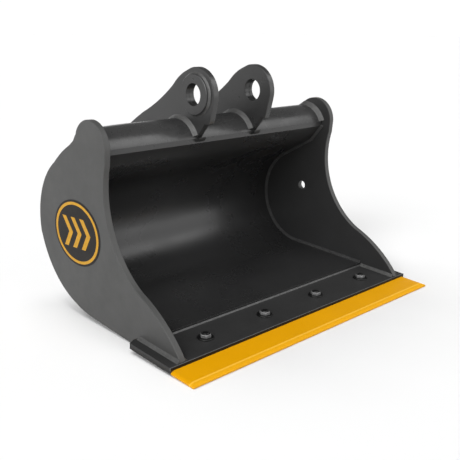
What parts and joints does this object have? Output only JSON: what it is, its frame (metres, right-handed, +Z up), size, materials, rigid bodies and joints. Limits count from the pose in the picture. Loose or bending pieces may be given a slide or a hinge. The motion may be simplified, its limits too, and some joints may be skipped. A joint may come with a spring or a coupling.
{
  "type": "excavator grading bucket",
  "caption": "Wide excavator bucket: rolled shell between two side plates, torque tube with two pin ears, and a bolted cutting edge under the lip plate.",
  "frame": {"origin": "under the middle of the bucket's box, on the plane of its lowest points: the front of the cutting edge and the lower corners of the side plates", "axes": "+X across the bucket along both pin bores, from the side with the decal to the other side; +Y from the cutting edge to the back of the bucket; +Z up towards the front pin bore"},
  "size_m": [1.072, 0.8722, 0.765],
  "materials": {
    "grey_paint": "satin graphite paint on the plates, the tube and the ears",
    "dark_paint": "satin near-black paint inside the scoop",
    "black_paint": "black satin paint on the lip plate",
    "weld_paint": "graphite paint over weld beads",
    "yellow_paint": "satin yellow paint on the wear edge",
    "black_steel": "black oxide on the fasteners",
    "decal_film": "printed vinyl film, black with a yellow ring"
  },
  "bodies": {
    "root": {"side_plate_left": "grey_paint", "side_plate_right": "grey_paint", "shell": "dark_paint", "torque_tube": "grey_paint", "ear_left": "grey_paint", "ear_right": "grey_paint", "front_boss_left": "grey_paint", "front_boss_right": "grey_paint", "rear_boss_left": "grey_paint", "rear_boss_right": "grey_paint", "lip_plate": "black_paint", "cutting_edge": "yellow_paint", "edge_bolts": "black_steel", "edge_nuts": "black_steel", "edge_washers": "black_steel", "ear_tube_weld_left": "weld_paint", "ear_tube_weld_right": "weld_paint", "ear_toe_welds": "weld_paint", "ear_shell_welds": "weld_paint", "boss_welds": "weld_paint", "side_shell_weld_left": "weld_paint", "side_shell_weld_right": "weld_paint", "tube_end_weld_left": "weld_paint", "tube_end_weld_right": "weld_paint", "lip_side_weld_left": "weld_paint", "lip_side_weld_right": "weld_paint", "lip_seam_weld": "weld_paint", "tube_back_weld": "weld_paint", "decal": "decal_film"}
  },
  "joints": []
}
